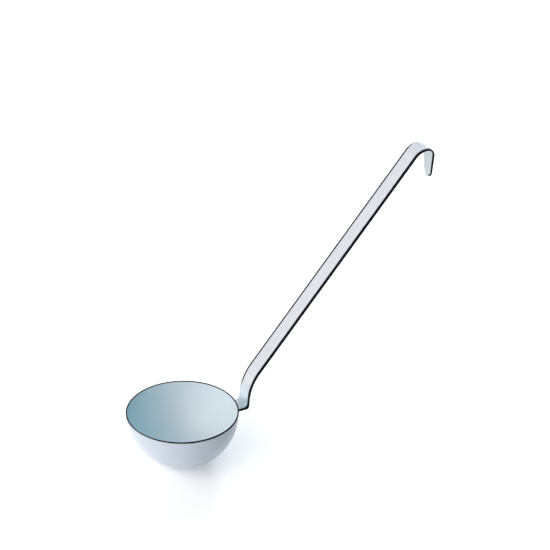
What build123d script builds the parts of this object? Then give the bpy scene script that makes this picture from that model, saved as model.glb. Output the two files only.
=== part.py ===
from build123d import *
from math import atan, cos, radians, sin, sqrt, tan
import os

# Soup ladle: a pressed steel bowl and a bent steel strip, spot-welded together and then enamelled.
# Millimetres. The origin is the middle of the flat under the bowl, +Z is up and +X runs to the handle.

# Bowl
bowl_radius = 45.0          # outside of the finished ball
bowl_gauge = 0.6            # sheet steel
foot_radius = 14.0          # flat that the ball is cut to underneath
coat = 0.25                 # fired enamel on each side of the steel
lip_height = 0.5            # straight lip of the wall above the ball's middle
rim_band_depth = 0.7        # dark enamel that caps the lip
rim_band_proud = 0.05       # the dark bead stands this far out from the wall on each side
rim_round_share = 0.3       # of the bead's width that each bevel of its top takes

# Handle strip, finished sizes follow from the steel and the coat
strip_width = 16.2
grip_gauge = 1.4            # steel along the straight grip
crown_gauge = 1.1           # steel over the top of the hook
end_gauge = 0.9             # steel where the strip is drawn thin, at the leg and at the root
edge_band = 1.05            # dark enamel round the strip's edge, measured in from the edge

# Handle route in side view, along the middle of the strip
ledge_drop = 9.2            # ledge below the rim
crank_gap = 9.85            # crank's corner from the outside of the ball
riser_length = 20.4
riser_lean = 4.5            # degrees from upright, leaning outwards
grip_slope = 49.35          # degrees above level
hook_rise = 186.7           # top of the hook above the rim
crown_length = 12.7
leg_length = 27.9
leg_lean = 1.8              # degrees from upright, the leg turns back inwards
crank_bend = 1.9            # radii of the bends, at the middle of the strip
riser_bend = 40.0
crown_bend = 12.8
hook_bend = 6.1

# Tongue at the free end of the hook
tongue_length = 22.0        # tapered stretch
tongue_taper = 2.9          # how much narrower its end is, on each side
tongue_round_share = 0.97   # of the largest corner radius that the end has room for

# Weld tab on the bowl's wall
tab_length = 16.0
tab_round_share = 0.8       # of half the strip's width that each lower corner's radius takes
weld_height_share = 0.55    # of the tab's length, from the ledge down to the welds' middle
weld_radius = 2.0
weld_spacing = 7.0
weld_bite = 0.35            # how far each weld runs into the bowl's steel and into the tab

overrun = 3.0               # how far cutting tools run past what they cut

# Heights that the bowl gives the rest
ball_height = sqrt(bowl_radius**2 - foot_radius**2)
lip_top = ball_height + lip_height
rim_height = lip_top + rim_band_depth
wall = bowl_gauge + 2 * coat
seat_radius = bowl_radius - coat
tab_outer_radius = seat_radius + end_gauge
ledge_height = rim_height - ledge_drop
crank_reach = bowl_radius + crank_gap


def ball(radius):
    """A ball about the bowl's own centre."""
    return Pos(0, 0, ball_height) * Sphere(radius)


def bowl_form(inset):
    """All that lies inside the bowl's outer face, less the inset, up to the top of its lip."""
    radius = bowl_radius - inset
    foot = sqrt(radius**2 - (ball_height - inset) ** 2)
    flat = Polyline((0, lip_top), (0, inset), (foot, inset))
    side = RadiusArc((foot, inset), (radius, ball_height), -radius)
    lip = Polyline((radius, ball_height), (radius, lip_top), (0, lip_top))
    return revolve(Plane.XZ * make_face(flat + side + lip), Axis.Z)


def rim_bead():
    """Dark bead that stands on the bowl's wall, a little wider than it and bevelled on top."""
    middle = bowl_radius - wall / 2
    bead_width = wall + 2 * rim_band_proud
    bead = Pos(middle, lip_top + rim_band_depth / 2) * Rectangle(bead_width, rim_band_depth)
    crown = bead.vertices().group_by(Axis.Y)[-1]
    bead = chamfer(crown, bead_width * rim_round_share)
    return revolve(Plane.XZ * bead, Axis.Z)


def route():
    """Corners of the strip's middle line in side view, from inside the bowl's wall to the tip."""
    root = Vector(bowl_radius / 2, ledge_height)
    crank = Vector(crank_reach, ledge_height)
    lean = radians(riser_lean)
    knee = crank + Vector(sin(lean), cos(lean)) * riser_length
    crown_height = rim_height + hook_rise
    rise = crown_height - knee.Y
    crown = Vector(knee.X + rise / tan(radians(grip_slope)), crown_height)
    hook = crown + Vector(crown_length, 0)
    back = radians(leg_lean)
    tip = hook - Vector(sin(back), cos(back)) * leg_length
    return [root, crank, knee, crown, hook, tip]


gauges = [end_gauge, end_gauge, grip_gauge, crown_gauge, end_gauge]
bends = [crank_bend, riser_bend, crown_bend, hook_bend]


def face_line(side, cover):
    """One face of the strip in side view: side is 1 for the front and -1 for the back, and cover
    is the coat's thickness over the steel. Each stretch keeps its own gauge, and the bends between
    them draw the strip thinner or thicker."""
    corners = route()
    offsets = [side * (gauge / 2 + cover) for gauge in gauges]
    steps = [end - start for start, end in zip(corners, corners[1:])]
    along = [step.normalized() for step in steps]
    across = [Vector(-way.Y, way.X) for way in along]
    points = [corners[0] + across[0] * offsets[0]]
    radii = []
    for index, bend in enumerate(bends):
        before, after = along[index], along[index + 1]
        turn = before.X * after.Y - before.Y * after.X
        shift = (offsets[index] * across[index].dot(across[index + 1]) - offsets[index + 1]) / turn
        points.append(corners[index + 1] + before * shift + across[index] * offsets[index])
        hand = 1 if turn < 0 else -1
        radii.append(bend + hand * (offsets[index] + offsets[index + 1]) / 2)
    points.append(corners[-1] + across[-1] * offsets[-1])
    return FilletPolyline(*[(point.X, point.Y) for point in points], radius=radii)


def strip(left_line, right_line, width):
    """The stretch of strip between two face lines, as wide as asked."""
    root_end = Line(left_line @ 0, right_line @ 0)
    tip_end = Line(left_line @ 1, right_line @ 1)
    outline = make_face(left_line + tip_end + right_line + root_end)
    return extrude(Plane.XZ * outline, amount=width / 2, both=True)


def tongue_trim(inset):
    """What the tapered, round-ended tongue leaves off the leg, with its edge inset."""
    hook, tip = route()[-2:]
    top = tip.Y + tongue_length
    low = tip.Y + inset
    taper = atan(tongue_taper / tongue_length)
    half_top = strip_width / 2 - inset / cos(taper)
    half_low = half_top - (top - low) * tan(taper)
    largest_radius = half_low * tan(radians(45) + taper / 2)
    tongue = FilletPolyline((-half_top, top), (-half_low, low), (half_low, low), (half_top, top),
                            radius=tongue_round_share * largest_radius)
    tongue_face = make_face(tongue + Line((half_top, top), (-half_top, top)))
    block_height = tongue_length + overrun
    block = Pos(0, top - block_height / 2) * Rectangle(strip_width + 2 * overrun, block_height)
    trim = Plane((hook.X, 0, 0), x_dir=(0, 1, 0), z_dir=(1, 0, 0)) * (block - tongue_face)
    return extrude(trim, amount=crown_bend / 2, both=True)


def tab_prism(inset):
    """Outline of the weld tab seen along X, drawn from the ledge's middle down, as a long prism."""
    half = strip_width / 2 - inset
    low = ledge_height - tab_length + inset
    sides = FilletPolyline((-half, ledge_height), (-half, low), (half, low), (half, ledge_height),
                           radius=tab_round_share * strip_width / 2 - inset)
    outline = make_face(sides + Line((half, ledge_height), (-half, ledge_height)))
    return extrude(Plane.YZ * outline, amount=crank_reach)


def tab_shell(outer_radius, inset):
    """Stretch of ball-shaped shell on the bowl's steel, inside the tab's outline."""
    return (ball(outer_radius) - ball(seat_radius)) & tab_prism(inset)


def welds():
    """Three spot welds, each a short rod square to the bowl's wall, half in the tab."""
    middle = ledge_height - tab_length * weld_height_share
    places = [(-weld_spacing / 2, middle + weld_spacing / 4), (weld_spacing / 2, middle + weld_spacing / 4),
              (0, middle - weld_spacing / 2)]
    rods = Part()
    for across, height in places:
        low = ball_height - height
        out = Vector(sqrt(seat_radius**2 - across**2 - low**2), across, -low)
        foot = Plane(out + Vector(0, 0, ball_height), z_dir=out)
        rods += extrude(foot * Circle(weld_radius), amount=weld_bite, both=True)
    return rods


front_steel = face_line(1, 0)
back_steel = face_line(-1, 0)
front_face = face_line(1, coat)
back_face = face_line(-1, coat)
spot_welds = welds()

# Steel
steel_width = strip_width - 2 * coat
handle_core = strip(front_steel, back_steel, steel_width) - tongue_trim(coat) - ball(seat_radius)
handle_core += tab_shell(tab_outer_radius, coat)
handle_steel = handle_core - spot_welds

# White enamel on the handle, inside the dark edge, and over the tab
face_width = strip_width - 2 * edge_band
front_enamel = strip(front_face, front_steel, face_width) - tongue_trim(edge_band) - ball(seat_radius)
back_enamel = strip(back_steel, back_face, face_width) - tongue_trim(edge_band) - ball(seat_radius)
back_enamel = back_enamel - tab_shell(tab_outer_radius, coat)
back_enamel += tab_shell(tab_outer_radius + coat, 0) - handle_core

# Dark enamel round the strip's edge
whole_strip = strip(front_face, back_face, strip_width) - tongue_trim(0) - ball(seat_radius)
edge_enamel = whole_strip - handle_core - front_enamel - back_enamel

# Bowl, its steel and both white coats in one wall, recessed by the coat where the tab is welded on
tab_footprint = tab_shell(tab_outer_radius + coat, 0)
bowl = bowl_form(0) - bowl_form(wall) - whole_strip - tab_footprint - spot_welds

nodes = {
    "bowl": bowl,
    "bowl_rim_bead": rim_bead(),
    "handle_steel": handle_steel,
    "handle_front_enamel": front_enamel,
    "handle_back_enamel": back_enamel,
    "handle_edge_enamel": edge_enamel,
    "tab_spot_welds": spot_welds,
}

os.makedirs("parts", exist_ok=True)
for name, solid in nodes.items():
    export_step(solid, f"parts/{name}.step")
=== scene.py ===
from math import asin, atan, cos, hypot, pi, radians, sin, sqrt, tan

import bmesh
import bpy
from mathutils import Matrix, Vector
from mathutils.noise import noise


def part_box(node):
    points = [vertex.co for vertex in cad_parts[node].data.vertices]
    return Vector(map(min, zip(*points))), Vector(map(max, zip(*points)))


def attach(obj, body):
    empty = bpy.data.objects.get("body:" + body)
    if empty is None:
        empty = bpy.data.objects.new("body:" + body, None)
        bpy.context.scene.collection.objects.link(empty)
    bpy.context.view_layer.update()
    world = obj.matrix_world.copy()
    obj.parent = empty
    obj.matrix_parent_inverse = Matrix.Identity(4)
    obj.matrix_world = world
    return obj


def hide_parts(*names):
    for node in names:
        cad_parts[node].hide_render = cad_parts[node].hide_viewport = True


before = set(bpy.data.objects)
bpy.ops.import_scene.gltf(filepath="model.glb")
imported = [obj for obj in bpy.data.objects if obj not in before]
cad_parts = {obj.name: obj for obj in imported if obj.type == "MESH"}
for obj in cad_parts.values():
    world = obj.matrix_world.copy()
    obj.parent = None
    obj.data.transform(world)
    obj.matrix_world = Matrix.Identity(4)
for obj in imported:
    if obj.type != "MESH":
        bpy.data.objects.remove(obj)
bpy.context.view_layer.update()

# Soup ladle, dressed: a bowl's wall, a dark bead on its lip, a dark strip with white faces, and the
# white coat over the weld tab, under soft light on a pale floor. Shapes are drawn in millimetres.
MM = 0.001

# The photograph: where its camera stood, and where the middle of the bowl's lip falls in it
PHOTO_SIZE = 550
RIM_PIXEL = (182.3, 411.05)
LENS = 216.0                # focal length in mm, for the sensor below
SENSOR = 36.0
CAMERA_RANGE = 2.621        # metres from the middle of the lip, measured along the view
CAMERA_ELEVATION = 31.01    # degrees
HANDLE_AZIMUTH = 27.0       # degrees that the handle runs back from the picture's plane
CAMERA_CLIP = 50            # metres

# Bowl, from the frame, in millimetres
BOWL_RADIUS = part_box("bowl")[1][0] / MM
LIP_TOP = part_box("bowl")[1][2] / MM
RIM_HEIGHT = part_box("bowl_rim_bead")[1][2] / MM
RIM_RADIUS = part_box("bowl_rim_bead")[1][0] / MM
WALL = 1.1                  # steel with a coat on both sides
LIP_HEIGHT = 0.5            # straight lip of the wall above the ball's middle
BALL_HEIGHT = LIP_TOP - LIP_HEIGHT
FOOT_EASE = 2.5             # half the width of the soft edge round the flat

# Handle strip, in millimetres: the same driving sizes as the solids
STRIP_WIDTH = 2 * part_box("handle_edge_enamel")[1][1] / MM
COAT = 0.25                 # fired enamel on each side of the steel
END_GAUGE = 0.9             # steel where the strip is drawn thin, at both ends
GRIP_GAUGE = 1.4            # steel along the straight grip
CROWN_GAUGE = 1.1           # steel over the top of the hook
LEDGE_DROP = 9.2            # ledge below the rim
CRANK_GAP = 9.85            # crank's corner from the outside of the ball
RISER_LENGTH = 20.4
RISER_LEAN = 4.5            # degrees from upright, leaning outwards
GRIP_SLOPE = 49.35          # degrees above level
HOOK_RISE = 186.7           # top of the hook above the rim
CROWN_LENGTH = 12.7
LEG_LENGTH = 27.9
LEG_LEAN = 1.8              # degrees from upright, the leg turns back inwards
CRANK_BEND = 1.9            # radii of the bends, at the middle of the strip
RISER_BEND = 40.0
CROWN_BEND = 12.8
HOOK_BEND = 6.1
TAB_LENGTH = 16.0           # from the ledge down
TAB_ROUND_SHARE = 0.8       # of half the strip's width that each lower corner's radius takes
TAB_CORNER = TAB_ROUND_SHARE * STRIP_WIDTH / 2
TONGUE_LENGTH = 22.0        # tapered stretch at the free end
TONGUE_TAPER = 2.9          # how much narrower its end is, on each side
TAPER = atan(TONGUE_TAPER / TONGUE_LENGTH)
TONGUE_ROUND_SHARE = 0.97   # of the largest corner radius that the end has room for
TONGUE_CORNER = TONGUE_ROUND_SHARE * (STRIP_WIDTH / 2 - TONGUE_TAPER) * tan(pi / 4 + TAPER / 2)

# Enamel
NEAR_BAND = 1.8             # dark enamel on the strip's faces, along the edge towards -Y
FAR_BAND = 2.0              # the same along the other edge
BARE_BAND = 0.15            # where the dark enamel ran thin, at both ends of that edge
HOOK_BAND = 0.45            # the same on the front of the hook
ROOT_FADE = 12.0            # the stretches over which it thins
HOOK_FADE = 13.0
END_BAND = 1.05             # the same round the tip
BAND_WAVER = 0.07           # how far a border between white and dark wanders
STRIP_WAVES = 0.13          # how quickly it wanders along the strip, in noise steps per millimetre
EDGES_APART = 5.0           # noise steps that keep the two edges from wandering alike
EDGE_ROUND = 0.5            # roundness of the strip's edges
POOL_RADIUS = 3.4           # enamel pooled in the inside corner of the crank
WHITE_STEP = 0.06           # how far the white coat stands above the dark one
WHITE_BORDER = 0.5          # width of its rounded border
BORDER_DROP = 1.6 * WHITE_STEP      # fall of that border, to just under the dark coat's face
WHITE_DEPTH = 3 * WHITE_STEP        # how deep the white coat is let into the dark one
FACE_OVERLAP = 0.5          # least length of each face's white coat that lies under the tab's coat
MENISCUS = 1.3              # width of the enamel fillet round the weld tab
TAB_RISE = 0.7              # how far inside the tab's outline its coat reaches full height
TAB_PROUD = 0.02            # how far that coat stands out over the strip's own
TAB_SINK = 0.3              # its thickness at its border, which lies inside the bowl's wall
RIM_SHADE_DROP = 0.55              # how much further the dark bead reaches down outside on one side of the lip: painted shade on the bowl's darker side
RIM_SHADE_WAY = Vector((0.31, -0.95, 0))
RIM_WAVES = 6               # radius, in noise steps, of the ring along which the lip's borders wander
INNER_WAVES = Vector((0, 0, 9))     # where that ring lies for the inner border
RIM_CLEARANCE = 0.02        # between the bead and the outside of its solid
RIM_TUCK = 0.04             # how far the bead's lower borders turn in, and start to above their line
RIM_UNDERCUT = 0.03         # how far below their line they end

# Grids, in millimetres where they are lengths
TURNS = 256                 # steps round the bowl
ARC_STEPS = 64              # from the bowl's flat to its lip
EASE_STEPS = 8              # over the soft edge of the flat
CROWN_STEPS = 14            # over the top of the bead on the lip
BEND_STEP = radians(3)      # of turn, along the strip
RUN_STEP = 2.5              # of length, where the strip is straight
FINE_STEP = 0.15            # the same where the enamel pools
END_STEPS = 24              # over each of the strip's rounded ends
LEAST_STEP = 0.004          # rows of the strip closer than this become one
# Columns of the strip's grid, by their distance from its edge
EDGE_STEPS = (0, 0.03, 0.08, 0.15, 0.25, 0.38, 0.55, 0.75, 1.0, 1.4, 2.2, 4.0, 6.0)
TAB_ROWS = 60
TAB_COLUMNS = 48
TINY = 1e-9
MERGE_DISTANCE = 1e-6       # metres
SHARP_ANGLE = radians(50)   # between two faces, from which their edge stays sharp
LEVEL = 0.999               # a normal's least upward part on a face that counts as level

# Glaze, with texture scales in cells per metre
DRIFT_FROM = 0.15           # span of the noise over which a colour drifts from its deep to its light form
DRIFT_TO = 0.85
GLOSS_SCALE = 2.3           # how much finer the drift of the gloss is than the colour's
GLOSS_FROM = 0.2            # span of its noise
GLOSS_TO = 0.8
GLOSSIEST = 0.8             # shares of the roughness between which it drifts
DULLEST = 1.25
RIPPLE_SCALE = 700.0        # orange peel: fine ripples
SWELL_SCALE = 110.0         # on wider swells
SWELL_SHARE = 3.0           # of so many times their height
PEEL_HEIGHT = 0.0001        # metres
GLASS_INDEX = 1.52          # how strongly glass bends light
COAT_ROUGHNESS = 0.04       # of the clear gloss on top
PIT_SCALE = 260.0
PIT_RADIUS = 0.08           # in cells
PIT_FLOOR = 0.03            # radius of the part of a pit that is fully dark
PIT_FROM = 0.8              # a cell has no pit where its random draw is below this
PIT_TO = 0.9                # and a full one where it is above this
PIT_COLOUR = (0.03, 0.035, 0.04)
WHITE = {"mottle_scale": 22.0, "peel": 0.12, "pinholes": 0.6}      # alike on all the white

# Sockets of a mix node for colours
MIX_SHARE = 0
MIX_FROM = 6
MIX_TO = 7
MIX_RESULT = 2

# Floor and surround, in metres
FLOOR_RINGS = (0.5, 2, 6, 14)
FLOOR_RIM = 1.1             # radius of the quarter turn with which the floor rises past its last ring
FLOOR_TURNS = 96            # steps round each ring
FLOOR_BEND = 15             # degrees between the rings of that turn
FLOOR_GAP = 0.0001          # keeps the floor just under the bowl
GLOW_START = 2.2            # the floor's glow grows from here
GLOW_FULL = 5.0             # to here
NEAR_GLOW = 0.26
FAR_GLOW = 1.0
SURROUND_COLOUR = (0.8, 0.9, 1.0, 1)
SURROUND_STRENGTH = 0.01
LIGHTS_AIM = Vector((0.08, 0, 0.06))

# Studio: each softbox has its place (right, away from the camera, up) in metres, its size and power,
# and its colour. All face the ladle.
SOFTBOXES = {
    "key_left_front": ((-2.4, -2.4, 1.8), 4.2, 140.0, (1.0, 0.95, 0.89)),
    "left": ((-3.2, 0.0, 1.4), 3.2, 32.0, (1.0, 0.94, 0.86)),
    "left_high": ((-2.2, 0.0, 3.2), 3.0, 13.0, (1.0, 0.95, 0.88)),
    "left_back": ((-2.4, 2.4, 2.0), 3.2, 19.0, (1.0, 0.97, 0.95)),
    "overhead": ((0.0, 0.0, 3.8), 4.0, 31.0, (0.92, 0.96, 1.0)),
    "front_fill": ((0.0, -3.4, 2.0), 3.6, 22.0, (0.90, 0.96, 1.0)),
    "right_back": ((2.4, 2.4, 1.8), 3.2, 3.0, (0.88, 0.94, 1.0)),
    "back_high": ((0.0, 3.4, 2.0), 3.6, 53.0, (0.90, 0.95, 1.0)),
    "back_low": ((0.0, 3.6, 0.7), 1.4, 163.0, (0.90, 0.95, 1.0)),
}


# Geometry helpers

def new_mesh(name, points, faces):
    """A smooth-shaded mesh object from points in millimetres."""
    mesh = bpy.data.meshes.new(name)
    mesh.from_pydata([Vector(point) * MM for point in points], [], faces)
    mesh.validate()
    mesh.update()
    shape = bmesh.new()
    shape.from_mesh(mesh)
    bmesh.ops.remove_doubles(shape, verts=shape.verts, dist=MERGE_DISTANCE)
    bmesh.ops.recalc_face_normals(shape, faces=shape.faces)
    shape.to_mesh(mesh)
    shape.free()
    for polygon in mesh.polygons:
        polygon.use_smooth = True
    mesh.set_sharp_from_angle(angle=SHARP_ANGLE)
    piece = bpy.data.objects.new(name, mesh)
    bpy.context.scene.collection.objects.link(piece)
    return piece


def arc_points(centre, radius, start, end, count):
    """Points on an arc in the radius-height plane, angles in degrees."""
    angles = [radians(start + (end - start) * step / count) for step in range(count + 1)]
    return [(centre[0] + radius * cos(angle), centre[1] + radius * sin(angle)) for angle in angles]


def ease(start, corner, end):
    """A smooth curve from start to end that is pulled towards the corner."""
    curve = []
    for step in range(EASE_STEPS + 1):
        share = step / EASE_STEPS
        weights = ((1 - share) ** 2, 2 * share * (1 - share), share**2)
        pulls = list(zip(weights, (start, corner, end)))
        radius = sum(weight * point[0] for weight, point in pulls)
        height = sum(weight * point[1] for weight, point in pulls)
        curve.append((radius, height))
    return curve


def smooth_step(share):
    """Goes gently from 0 to 1 as the share goes from 0 to 1."""
    share = max(0.0, min(1.0, share))
    return share * share * (3 - 2 * share)


def rounded(distance, radius):
    """How much lower a rounded edge is than the face, at a distance in from the edge."""
    if distance >= radius:
        return 0.0
    return radius - sqrt(max(0.0, radius**2 - (radius - distance) ** 2))


def ring_faces(rings, size):
    """Faces between rings of as many points each, of which the last ring joins the first."""
    faces = []
    for ring in range(rings):
        here = ring * size
        ahead = (ring + 1) % rings * size
        for step in range(size):
            after = (step + 1) % size
            faces.append((here + step, here + after, ahead + after, ahead + step))
    return faces


def revolve(name, profile):
    """Turns a closed profile of (radius, height) points about the Z axis."""
    points = []
    for radius, height in profile:
        for step in range(TURNS):
            angle = 2 * pi * step / TURNS
            points.append((radius * cos(angle), radius * sin(angle), height))
    return new_mesh(name, points, ring_faces(len(profile), TURNS))


# Bowl

def bowl_profile():
    """The cup's wall, with a soft edge where the ball meets the flat."""
    inside = BOWL_RADIUS - WALL
    foot = sqrt(BOWL_RADIUS**2 - BALL_HEIGHT**2)
    inner_foot = sqrt(inside**2 - (BALL_HEIGHT - WALL) ** 2)
    centre = (0, BALL_HEIGHT)
    outer_start = -90 + 180 / pi * (asin(foot / BOWL_RADIUS) + FOOT_EASE / BOWL_RADIUS)
    inner_start = -90 + 180 / pi * (asin(inner_foot / inside) + FOOT_EASE / inside)
    outer = arc_points(centre, BOWL_RADIUS, outer_start, 0, ARC_STEPS)
    inner = arc_points(centre, inside, 0, inner_start, ARC_STEPS)
    outer_flat = ease((foot - FOOT_EASE, 0), (foot, 0), outer[0])
    inner_flat = ease(inner[-1], (inner_foot, WALL), (inner_foot - FOOT_EASE, WALL))
    lip = [(BOWL_RADIUS, LIP_TOP), (inside, LIP_TOP)]
    return [(0, 0)] + outer_flat + outer[1:] + lip + inner[:-1] + inner_flat + [(0, WALL)]


def make_bowl():
    """The cup, in one wall."""
    return revolve("bowl_wall", bowl_profile())


def make_rim():
    """Dark bead on the lip: a rounded crown, lower borders that waver a little, and an outer border that
    drops lower on one side as painted shade.
    """
    middle = BOWL_RADIUS - WALL / 2
    half = RIM_RADIUS - middle - RIM_CLEARANCE
    crown = RIM_HEIGHT - half
    points = []
    for turn in range(TURNS):
        angle = 2 * pi * turn / TURNS
        around = Vector((cos(angle), sin(angle), 0))
        # The outer border drops lower on one side: painted shade, a dark band standing in for the shading on
        # that side.
        run = max(0.0, around.dot(RIM_SHADE_WAY))
        low_out = LIP_TOP - RIM_SHADE_DROP * run + BAND_WAVER * noise(around * RIM_WAVES)
        low_in = LIP_TOP + BAND_WAVER * noise(around * RIM_WAVES + INNER_WAVES)
        ring = [(middle + half - RIM_TUCK, low_out - RIM_UNDERCUT), (middle + half, low_out + RIM_TUCK)]
        ring += arc_points((middle, crown), half, 0, 180, CROWN_STEPS)
        ring += [(middle - half, low_in + RIM_TUCK), (middle - half + RIM_TUCK, low_in - RIM_UNDERCUT)]
        points += [(radius * cos(angle), radius * sin(angle), height) for radius, height in ring]
    return new_mesh("rim_bead", points, ring_faces(TURNS, len(ring)))


# Handle strip

class Route:
    """The strip's middle line in side view: a chain of straight runs and arcs, from the tab's lower
    end to the tip of the hook. Each stretch has a name, and the steel's gauge at its two ends."""

    def __init__(self, start, heading, gauge):
        self.stretches = {}
        self.point = start
        self.heading = heading
        self.gauge = gauge
        self.length = 0.0

    def add(self, name, length, turn, gauge):
        """Goes on for a length while the heading turns, in radians, and the gauge changes to this one."""
        self.stretches[name] = {"from": self.length, "length": length, "point": self.point,
                                "heading": self.heading, "bend": turn / length,
                                "gauge_start": self.gauge, "gauge_end": gauge}
        self.point = self.at(self.length + length)[0]
        self.heading += turn
        self.gauge = gauge
        self.length += length

    def at(self, along):
        """(point, heading, gauge) at a distance along the route, or before it on its first stretch."""
        for candidate in self.stretches.values():
            if candidate["from"] <= max(along, 0.0) + TINY:
                stretch = candidate
        run = along - stretch["from"]
        heading = stretch["heading"]
        bend = stretch["bend"]
        x, z = stretch["point"]
        if abs(bend) < TINY:
            x += run * cos(heading)
            z += run * sin(heading)
        else:
            x += (sin(heading + bend * run) - sin(heading)) / bend
            z += (cos(heading) - cos(heading + bend * run)) / bend
        share = run / stretch["length"]
        gauge = stretch["gauge_start"] + (stretch["gauge_end"] - stretch["gauge_start"]) * share
        return (x, z), heading + bend * run, gauge


def make_route():
    """The tab up the bowl's wall, the ledge, the riser, the grip, the crown and the leg."""
    ledge = RIM_HEIGHT - LEDGE_DROP
    seat = BOWL_RADIUS - COAT + END_GAUGE / 2
    low = asin((BALL_HEIGHT - ledge + TAB_LENGTH) / seat)
    bend_drop = BALL_HEIGHT - ledge + CRANK_BEND
    top = asin(bend_drop / (seat + CRANK_BEND))
    bend_out = (seat + CRANK_BEND) * cos(top)

    crank = BOWL_RADIUS + CRANK_GAP
    riser = radians(90 - RISER_LEAN)
    slope = radians(GRIP_SLOPE)
    knee = (crank + RISER_LENGTH * cos(riser), ledge + RISER_LENGTH * sin(riser))
    rise = RIM_HEIGHT + HOOK_RISE - knee[1]
    grip = rise / sin(slope)
    leg_turn = radians(90 + LEG_LEAN)

    def trim(radius, turn):
        return radius * tan(turn / 2)

    at_crank = trim(CRANK_BEND, riser)
    at_knee = trim(RISER_BEND, riser - slope)
    at_crown = trim(CROWN_BEND, slope)
    at_hook = trim(HOOK_BEND, leg_turn)

    route = Route((seat * cos(low), BALL_HEIGHT - seat * sin(low)), pi / 2 - low, END_GAUGE)
    route.add("tab", seat * (low - top), low - top, END_GAUGE)
    route.add("root bend", CRANK_BEND * (pi / 2 - top), top - pi / 2, END_GAUGE)
    route.add("ledge", crank - at_crank - bend_out, 0, END_GAUGE)
    route.add("crank", CRANK_BEND * riser, riser, END_GAUGE)
    route.add("riser", RISER_LENGTH - at_crank - at_knee, 0, END_GAUGE)
    route.add("knee", RISER_BEND * (riser - slope), slope - riser, GRIP_GAUGE)
    route.add("grip", grip - at_knee - at_crown, 0, GRIP_GAUGE)
    route.add("crown", CROWN_BEND * slope, -slope, CROWN_GAUGE)
    route.add("top", CROWN_LENGTH - at_crown - at_hook, 0, CROWN_GAUGE)
    route.add("hook", HOOK_BEND * leg_turn, -leg_turn, END_GAUGE)
    route.add("leg", LEG_LENGTH - at_hook, 0, END_GAUGE)
    return route


ROUTE = make_route()
TAB_END = ROUTE.stretches["root bend"]["from"]
BEND_END = ROUTE.stretches["ledge"]["from"]
LEDGE_END = ROUTE.stretches["crank"]["from"]
POOL_END = ROUTE.stretches["riser"]["from"] + POOL_RADIUS
KNEE_START = ROUTE.stretches["knee"]["from"]
CROWN_START = ROUTE.stretches["crown"]["from"]
TONGUE_START = ROUTE.length - TONGUE_LENGTH


def place(along, across, height):
    """A point of the strip, given by its distance along, across and above the middle line. Above is
    the front. The tab follows the ball's roundness across its width as well, and the ledge starts
    from that curve."""
    (x, z), heading, _ = ROUTE.at(along)
    ball = BOWL_RADIUS + END_GAUGE / 2
    sag = ball - sqrt(ball**2 - across**2)
    if along < TAB_END:
        pull = 1.0
        bent = heading + pi / 2
    else:
        pull = max(0.0, min(1.0, (LEDGE_END - along) / (LEDGE_END - BEND_END)))
        top = ROUTE.stretches["root bend"]["heading"] + pi / 2
        share = min(1.0, (along - TAB_END) / (BEND_END - TAB_END))
        bent = top + (pi - top) * share
    x += -height * sin(heading) + pull * sag * cos(bent)
    z += height * cos(heading) + pull * sag * sin(bent)
    return (x, across, z)


def half_width(along, inset):
    """Half the width of the strip's outline, drawn in by the inset, at a distance along. Zero where
    the outline has ended."""
    corner_middle = STRIP_WIDTH / 2 - TAB_CORNER
    if along < TAB_CORNER:
        reach = (TAB_CORNER - inset) ** 2 - (TAB_CORNER - along) ** 2
        return corner_middle + sqrt(reach) if reach >= 0 else 0.0
    side = STRIP_WIDTH / 2 - inset
    if along > TONGUE_START:
        side = STRIP_WIDTH / 2 - (along - TONGUE_START) * tan(TAPER) - inset / cos(TAPER)
    tip_line = ROUTE.length - TONGUE_CORNER
    if along > tip_line + TONGUE_CORNER * sin(TAPER):
        reach = (TONGUE_CORNER - inset) ** 2 - (along - tip_line) ** 2
        return tip_middle() + sqrt(reach) if reach >= 0 else 0.0
    return side


def tip_middle():
    """Where the centres of the tip's two corner arcs stand, either side of the middle."""
    end = STRIP_WIDTH / 2 - TONGUE_TAPER
    return end - TONGUE_CORNER / tan(pi / 4 + TAPER / 2)


def edge_distance(along, across):
    """How far a point of the strip lies inside its outline."""
    across = abs(across)
    distance = STRIP_WIDTH / 2 - across
    if along > TONGUE_START:
        distance = (distance - (along - TONGUE_START) * tan(TAPER)) * cos(TAPER)
    if along < TAB_CORNER:
        middle = STRIP_WIDTH / 2 - TAB_CORNER
        if across > middle:
            distance = min(distance, TAB_CORNER - hypot(across - middle, TAB_CORNER - along))
        distance = min(distance, along)
    tip_line = ROUTE.length - TONGUE_CORNER
    if along > tip_line:
        distance = min(distance, ROUTE.length - along)
        if across > tip_middle():
            distance = min(distance, TONGUE_CORNER - hypot(across - tip_middle(), along - tip_line))
    return max(0.0, distance)


def stations(start, end):
    """Distances along the strip, close together in the bends and at rounded ends."""
    marks = []
    for stretch in ROUTE.stretches.values():
        turn = abs(stretch["bend"]) * stretch["length"]
        count = max(int(turn / BEND_STEP), int(stretch["length"] / RUN_STEP), 1)
        marks += [stretch["from"] + stretch["length"] * step / count for step in range(count + 1)]
    fine = int((POOL_END - BEND_END) / FINE_STEP)
    marks += [BEND_END + FINE_STEP * step for step in range(fine)]
    marks = [mark for mark in marks if start < mark < end]
    for step in range(1, END_STEPS):
        curve = 1 - cos(pi / 2 * step / END_STEPS)
        marks.append(start + TAB_CORNER * curve)
        marks.append(end - TONGUE_CORNER * curve)
    marks += [start, end]
    marks = sorted(marks)
    kept = [marks[0]]
    for mark in marks[1:]:
        if mark - kept[-1] > LEAST_STEP:
            kept.append(mark)
    return kept


def across_shares():
    """Places across the strip from one edge to the other, close together near the edges."""
    half = STRIP_WIDTH / 2
    side = [1 - step / half for step in EDGE_STEPS]
    return [-share for share in side] + [0.0] + side[::-1]


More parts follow.
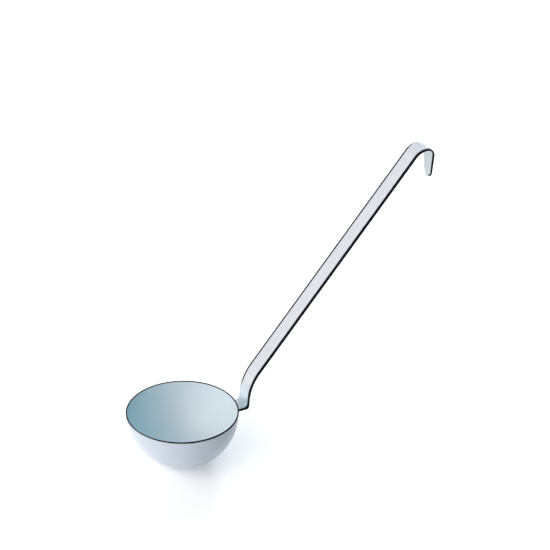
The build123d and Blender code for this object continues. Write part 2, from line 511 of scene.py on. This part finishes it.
def slab_faces(rows, columns):
    """Faces of a closed slab between two like grids of points, of which one follows the other."""
    faces = []
    layer = rows * columns
    for row in range(rows - 1):
        for column in range(columns - 1):
            here = row * columns + column
            ahead = here + columns
            faces.append((here, here + 1, ahead + 1, ahead))
            faces.append((layer + here, layer + ahead, layer + ahead + 1, layer + here + 1))
        for column in (0, columns - 1):
            here = row * columns + column
            ahead = here + columns
            faces.append((here, ahead, layer + ahead, layer + here))
    for row in (0, rows - 1):
        for column in range(columns - 1):
            here = row * columns + column
            faces.append((here, here + 1, layer + here + 1, layer + here))
    return faces


def skin(name, start, end, outline, top, bottom):
    """A closed piece of the strip: two grids of points inside an outline, one at its top and one at
    its bottom."""
    rows = stations(start, end)
    shares = across_shares()
    points = []
    for height in (top, bottom):
        for along in rows:
            for share in shares:
                across = share * outline(along, share)
                points.append(place(along, across, height(along, across, share)))
    return new_mesh(name, points, slab_faces(len(rows), len(shares)))


def pool(along):
    """Depth of the enamel that pooled in the inside corner of the crank."""
    crank = ROUTE.stretches["crank"]
    half_turn = crank["length"] * crank["bend"] / 2
    inner = CRANK_BEND - END_GAUGE / 2 - COAT
    away = abs(along - crank["from"] - crank["length"] / 2)
    beyond = away - crank["length"] / 2
    if beyond > 0:
        run = max(0.0, (POOL_RADIUS - inner) * tan(half_turn) - beyond)
        return POOL_RADIUS - sqrt(POOL_RADIUS**2 - run**2)
    angle = away / CRANK_BEND
    offset = (POOL_RADIUS - inner) / cos(half_turn)
    return inner - sqrt(POOL_RADIUS**2 - (offset * sin(angle)) ** 2) + offset * cos(angle)


def coat_height(along, across, side):
    """Height of the finished face over the middle line, before the white coat's own border. Side is
    1 for the front and -1 for the back."""
    half = ROUTE.at(along)[2] / 2 + COAT
    edge = rounded(edge_distance(along, across), min(EDGE_ROUND, half))
    return half - edge + (pool(along) if side > 0 else 0.0)


def core_height(side):
    """Height of the dark coat's surface."""
    def height(along, across, share):
        return side * max(0.0, coat_height(along, across, side) - WHITE_STEP)
    return height


def make_core():
    """The whole strip in dark enamel, which shows along its edges."""
    def outline(along, share):
        return half_width(along, 0)
    return skin("strip_edge", 0, ROUTE.length, outline, core_height(1), core_height(-1))


def band(along, edge, side):
    """Width of the dark band at one edge of a face, which wavers a little. Edge is 1 towards +Y,
    where the band thins at the root and over the hook."""
    width = NEAR_BAND
    if edge > 0:
        from_root = smooth_step((along - KNEE_START) / ROOT_FADE) if side > 0 else 1.0
        to_hook = smooth_step((CROWN_START - along) / HOOK_FADE + 1)
        thin = HOOK_BAND if side > 0 and along > CROWN_START else BARE_BAND
        width = thin + (FAR_BAND - thin) * min(from_root, to_hook)
    to_tip = max(0.0, min(1.0, (along - TONGUE_START) / TONGUE_LENGTH))
    if edge < 0:
        width += (END_BAND - width) * to_tip
    return width + BAND_WAVER * noise(Vector((along * STRIP_WAVES, edge * EDGES_APART, side)))


def make_face(name, side, start):
    """The white coat on one face of the strip, from a start to near the tip, inside the dark band."""
    def inset(along, share):
        return band(along, 1 if share > 0 else -1, side)

    def outline(along, share):
        return half_width(along, inset(along, share))

    def outer(along, across, share):
        inside = max(0.0, edge_distance(along, across) - inset(along, share))
        border = BORDER_DROP * rounded(inside, WHITE_BORDER) / WHITE_BORDER
        return side * (coat_height(along, across, side) - border)

    def inner(along, across, share):
        return side * max(0.0, coat_height(along, across, side) - WHITE_DEPTH)

    return skin(name, start, ROUTE.length - END_BAND, outline, outer, inner)


def make_front():
    """White on the strip's front, from under the border of the tab's coat."""
    return make_face("strip_front", 1, BEND_END - FACE_OVERLAP)


def make_back():
    """White on the strip's back, from under the tab's coat."""
    return make_face("strip_back", -1, TAB_END - FACE_OVERLAP)


def make_tab_coat():
    """White enamel that covers the weld tab and its bend, and flows out over the bowl round them.
    Heights on the tab grow towards the bowl."""
    reach = STRIP_WIDTH / 2 + MENISCUS
    full = END_GAUGE + COAT
    seat = END_GAUGE / 2 - TAB_PROUD
    corner = STRIP_WIDTH / 2 - TAB_CORNER

    def lift(along, across):
        """How far the coat stands off the bowl's steel, from nothing at its border to full on the tab."""
        past_side = abs(across) - STRIP_WIDTH / 2
        if along < 0:
            distance = -hypot(along, max(0.0, past_side))
        else:
            distance = edge_distance(along, across)
            if distance == 0:
                distance = min(0.0, -past_side)
                if along < TAB_CORNER and abs(across) > corner:
                    distance = TAB_CORNER - hypot(abs(across) - corner, TAB_CORNER - along)
        return full * smooth_step((distance + MENISCUS) / (MENISCUS + TAB_RISE))

    points = []
    for sunk in (False, True):
        for row in range(TAB_ROWS + 1):
            along = -MENISCUS + (BEND_END + MENISCUS) * row / TAB_ROWS
            for column in range(TAB_COLUMNS + 1):
                across = reach * (2 * column / TAB_COLUMNS - 1)
                height = seat + TAB_SINK if sunk else seat - lift(along, across)
                points.append(place(along, across, height))
    return new_mesh("tab_coat", points, slab_faces(TAB_ROWS + 1, TAB_COLUMNS + 1))


# Materials

def node(tree, kind, **inputs):
    """A shader node with some of its inputs set, or linked where the value is a socket."""
    made = tree.nodes.new(kind)
    for name, value in inputs.items():
        socket = made.inputs[name.replace("_", " ")]
        if isinstance(value, bpy.types.NodeSocket):
            tree.links.new(value, socket)
        else:
            socket.default_value = value
    return made


def mixed(tree, share, start, end):
    """A colour socket that goes from one socket's colour to a plain colour as the share grows."""
    mix = tree.nodes.new("ShaderNodeMix")
    mix.data_type = "RGBA"
    tree.links.new(share, mix.inputs[MIX_SHARE])
    tree.links.new(start, mix.inputs[MIX_FROM])
    mix.inputs[MIX_TO].default_value = (*end, 1)
    return mix.outputs[MIX_RESULT]


def drifting(tree, spot, light, deep, scale):
    """A colour that drifts from place to place between a deep and a light form."""
    drift = node(tree, "ShaderNodeTexNoise", Vector=spot, Scale=scale, Detail=4.0, Roughness=0.55)
    colours = node(tree, "ShaderNodeValToRGB", Fac=drift.outputs["Fac"])
    start, end = colours.color_ramp.elements
    start.position = DRIFT_FROM
    start.color = (*deep, 1)
    end.position = DRIFT_TO
    end.color = (*light, 1)
    return colours.outputs["Color"]


def shade_toward(tree, spot, tint, axis, start, end, colour):
    """Painted shade: the tint goes over to a shade colour between two places on an axis."""
    ways = node(tree, "ShaderNodeSeparateXYZ", Vector=spot)
    share = node(tree, "ShaderNodeMapRange", Value=ways.outputs[axis], From_Min=start, From_Max=end)
    share.interpolation_type = "SMOOTHSTEP"
    return mixed(tree, share.outputs["Result"], tint, colour)


def pitted(tree, spot, tint, darkness):
    """The tint with a few tiny dark pits."""
    cells = node(tree, "ShaderNodeTexVoronoi", Vector=spot, Scale=PIT_SCALE)
    draw = node(tree, "ShaderNodeSeparateColor", Color=cells.outputs["Color"])
    inside = node(tree, "ShaderNodeMapRange", Value=cells.outputs["Distance"],
                  From_Min=PIT_RADIUS, From_Max=PIT_FLOOR)
    chosen = node(tree, "ShaderNodeMapRange", Value=draw.outputs[0],
                  From_Min=PIT_FROM, From_Max=PIT_TO, To_Max=darkness)
    share = node(tree, "ShaderNodeMath", Value=inside.outputs["Result"])
    share.operation = "MULTIPLY"
    tree.links.new(chosen.outputs["Result"], share.inputs[1])
    return mixed(tree, share.outputs[0], tint, PIT_COLOUR)


def uneven_gloss(tree, spot, roughness, scale):
    """A roughness that drifts a little from place to place."""
    drift = node(tree, "ShaderNodeTexNoise", Vector=spot, Scale=scale * GLOSS_SCALE, Detail=2.0)
    gloss = node(tree, "ShaderNodeMapRange", Value=drift.outputs["Fac"], From_Min=GLOSS_FROM,
                 From_Max=GLOSS_TO, To_Min=roughness * GLOSSIEST, To_Max=roughness * DULLEST)
    return gloss.outputs["Result"]


def orange_peel(tree, spot, strength):
    """Normals of a surface with fine ripples on wider swells."""
    ripple = node(tree, "ShaderNodeTexNoise", Vector=spot, Scale=RIPPLE_SCALE, Detail=1.0)
    swell = node(tree, "ShaderNodeTexNoise", Vector=spot, Scale=SWELL_SCALE, Detail=1.0)
    heights = node(tree, "ShaderNodeMath", Value=swell.outputs["Fac"])
    heights.operation = "MULTIPLY_ADD"
    heights.inputs[1].default_value = SWELL_SHARE
    tree.links.new(ripple.outputs["Fac"], heights.inputs[2])
    bump = node(tree, "ShaderNodeBump", Strength=strength, Distance=PEEL_HEIGHT, Height=heights.outputs[0])
    return bump.outputs["Normal"]


def enamel(name, light, deep, roughness, mottle_scale, peel, shine=0.5, coat=0.35, painted_shade=None, pinholes=0.0):
    """Fired glass enamel: its colour drifts a little from place to place, with a faint orange peel.
    Its painted shade is (axis, from, to, colour): the colour that it takes on along an axis, standing in for
    shade.
    Pinholes is how dark the few tiny pits in the glaze are."""
    material = bpy.data.materials.new(name)
    material.use_nodes = True
    tree = material.node_tree
    tree.nodes.clear()
    spot = tree.nodes.new("ShaderNodeTexCoord").outputs["Object"]
    tint = drifting(tree, spot, light, deep, mottle_scale)
    # Painted shade: the tint darkens or turns bluer along one axis.
    if painted_shade:
        tint = shade_toward(tree, spot, tint, *painted_shade)
    if pinholes:
        tint = pitted(tree, spot, tint, pinholes)
    shader = node(tree, "ShaderNodeBsdfPrincipled", Base_Color=tint,
                  Roughness=uneven_gloss(tree, spot, roughness, mottle_scale),
                  Normal=orange_peel(tree, spot, peel), IOR=GLASS_INDEX,
                  Specular_IOR_Level=shine, Coat_Weight=coat, Coat_Roughness=COAT_ROUGHNESS)
    output = tree.nodes.new("ShaderNodeOutputMaterial")
    tree.links.new(shader.outputs["BSDF"], output.inputs["Surface"])
    return material


def front_white():
    """White of the strip's front, with painted shade: bluer down at the ledge, where it lies in shade."""
    return enamel("white_enamel", light=(0.55, 0.575, 0.64), deep=(0.52, 0.55, 0.615), roughness=0.2,
                  painted_shade=("Z", 0.052, 0.040, (0.565, 0.69, 0.76)), **WHITE)


def outside_white():
    """White of the bowl's outside and the tab: a darker copy of the white, with painted shade that darkens
    it further towards the handle.
    """
    return enamel("white_enamel_outside", light=(0.455, 0.50, 0.572), deep=(0.43, 0.48, 0.557),
                  roughness=0.2, painted_shade=("X", -0.025, 0.036, (0.235, 0.295, 0.34)), **WHITE)


def inside_white():
    """White of the bowl's inside, duller: a lighter copy of the white, painted light, with painted shade
    that turns it teal on the side away from the handle.
    """
    return enamel("white_enamel_inside", light=(0.645, 0.705, 0.76), deep=(0.62, 0.685, 0.74),
                  roughness=0.5, coat=0.1, painted_shade=("X", 0.02, -0.045, (0.60, 0.91, 1.0)), **WHITE)


def back_white():
    """White of the strip's back: a greyer, darker copy of the white, painted shade for faces that lie in
    shade.
    """
    return enamel("white_enamel_back", light=(0.49, 0.54, 0.56), deep=(0.465, 0.515, 0.535),
                  roughness=0.2, **WHITE)


def dark_enamel():
    """Blue-black of the lip and the strip's edges."""
    return enamel("dark_enamel", light=(0.002, 0.005, 0.010), deep=(0.001, 0.0025, 0.005), roughness=0.22,
                  mottle_scale=60.0, peel=0.15, shine=0.04, coat=0.0)


def floor_material():
    """A plain pale sweep, which glows more far away, where no softbox reaches it."""
    material = bpy.data.materials.new("pale_floor")
    material.use_nodes = True
    tree = material.node_tree
    shader = tree.nodes["Principled BSDF"]
    shader.inputs["Base Color"].default_value = (0.93, 0.94, 0.95, 1)
    shader.inputs["Roughness"].default_value = 0.85
    shader.inputs["Specular IOR Level"].default_value = 0.1
    shader.inputs["Emission Color"].default_value = (0.95, 0.97, 1.0, 1)
    spot = tree.nodes.new("ShaderNodeTexCoord").outputs["Object"]
    distance = node(tree, "ShaderNodeVectorMath", Vector=spot)
    distance.operation = "LENGTH"
    glow = node(tree, "ShaderNodeMapRange", Value=distance.outputs["Value"], From_Min=GLOW_START,
                From_Max=GLOW_FULL, To_Min=NEAR_GLOW, To_Max=FAR_GLOW)
    tree.links.new(glow.outputs["Result"], shader.inputs["Emission Strength"])
    return material


# Scene

def aim_camera():
    """The photograph's camera: its elevation, its turn about the ladle and its framing. Gives its ways
    to the right and forward."""
    azimuth = radians(HANDLE_AZIMUTH)
    elevation = radians(CAMERA_ELEVATION)
    right = Vector((cos(azimuth), -sin(azimuth), 0))
    forward = Vector((sin(azimuth) * cos(elevation), cos(azimuth) * cos(elevation), -sin(elevation)))
    up = right.cross(forward)
    focal = PHOTO_SIZE * LENS / SENSOR
    aside = (RIM_PIXEL[0] - PHOTO_SIZE / 2) * CAMERA_RANGE / focal
    above = (PHOTO_SIZE / 2 - RIM_PIXEL[1]) * CAMERA_RANGE / focal
    rim = Vector((0, 0, RIM_HEIGHT * MM))
    stand = rim - right * aside - up * above - forward * CAMERA_RANGE
    data = bpy.data.cameras.new("photo_camera")
    data.lens = LENS
    data.sensor_width = SENSOR
    data.clip_end = CAMERA_CLIP
    camera = bpy.data.objects.new("photo_camera", data)
    turn = Matrix((right, up, -forward)).transposed().to_4x4()
    camera.matrix_world = Matrix.Translation(stand) @ turn
    bpy.context.scene.collection.objects.link(camera)
    bpy.context.scene.camera = camera
    return right, forward


def light_scene(right, forward):
    """Softboxes round the ladle, the faintest of them at the right, and a faint cool surround."""
    level = Vector((forward.x, forward.y, 0)).normalized()
    for name, (stand, size, power, colour) in SOFTBOXES.items():
        data = bpy.data.lights.new(name, "AREA")
        data.shape = "SQUARE"
        data.size = size
        data.energy = power
        data.color = colour
        lamp = bpy.data.objects.new(name, data)
        lamp.location = right * stand[0] + level * stand[1] + Vector((0, 0, stand[2]))
        aim = LIGHTS_AIM - lamp.location
        lamp.rotation_euler = aim.to_track_quat("-Z", "Y").to_euler()
        bpy.context.scene.collection.objects.link(lamp)
    world = bpy.data.worlds.new("studio")
    world.use_nodes = True
    surround = world.node_tree.nodes["Background"]
    surround.inputs["Color"].default_value = SURROUND_COLOUR
    surround.inputs["Strength"].default_value = SURROUND_STRENGTH
    bpy.context.scene.world = world


def make_floor():
    """A wide round floor whose far rim turns up, so that low views see no bare horizon."""
    far = FLOOR_RINGS[-1]
    rings = [(reach, 0) for reach in FLOOR_RINGS]
    rings += arc_points((far, FLOOR_RIM), FLOOR_RIM, FLOOR_BEND - 90, 0, 90 // FLOOR_BEND - 1)
    points = [(0, 0, 0)]
    for reach, height in rings:
        for turn in range(FLOOR_TURNS):
            angle = 2 * pi * turn / FLOOR_TURNS
            points.append((reach * cos(angle), reach * sin(angle), height))
    faces = []
    for turn in range(FLOOR_TURNS):
        after = (turn + 1) % FLOOR_TURNS
        faces.append((0, 1 + turn, 1 + after))
        for ring in range(len(rings) - 1):
            low = 1 + ring * FLOOR_TURNS
            high = low + FLOOR_TURNS
            faces.append((low + turn, high + turn, high + after, low + after))
    mesh = bpy.data.meshes.new("floor")
    mesh.from_pydata(points, [], faces)
    floor = bpy.data.objects.new("floor", mesh)
    floor.location.z = -FLOOR_GAP
    mesh.materials.append(floor_material())
    bpy.context.scene.collection.objects.link(floor)


# Assembly

def line_inside(bowl_wall, material):
    """Gives the faces inside the bowl their own material: a lighter copy of the white, with painted shade.
    """
    bowl_wall.data.materials.append(material)
    middle = (BOWL_RADIUS - WALL / 2) * MM
    half_wall = WALL / 2 * MM
    centre = Vector((0, 0, BALL_HEIGHT * MM))
    for polygon in bowl_wall.data.polygons:
        spot = polygon.center
        arm = spot - centre if spot.z < centre.z else Vector((spot.x, spot.y, 0))
        on_flat = spot.z > half_wall and polygon.normal.z > LEVEL
        polygon.material_index = 1 if on_flat or arm.length < middle else 0


def dress(piece, material, slot, *nodes):
    """Gives a piece its material, hangs it from the root body, and hides the CAD nodes that it stands for.
    """
    piece.data.materials.append(material)
    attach(piece, "root")
    if nodes:
        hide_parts(*nodes)


dark = dark_enamel()
outside = outside_white()

bowl_wall = make_bowl()
dress(bowl_wall, outside, "enamelled_steel", "bowl")
line_inside(bowl_wall, inside_white())
dress(make_rim(), dark, "dark_enamel", "bowl_rim_bead")
dress(make_core(), dark, "dark_enamel", "handle_edge_enamel", "handle_steel", "tab_spot_welds")
dress(make_front(), front_white(), "white_enamel", "handle_front_enamel")
dress(make_back(), back_white(), "white_enamel", "handle_back_enamel")
dress(make_tab_coat(), outside, "white_enamel")

make_floor()
right, forward = aim_camera()
light_scene(right, forward)
bpy.context.scene.view_settings.view_transform = "Standard"
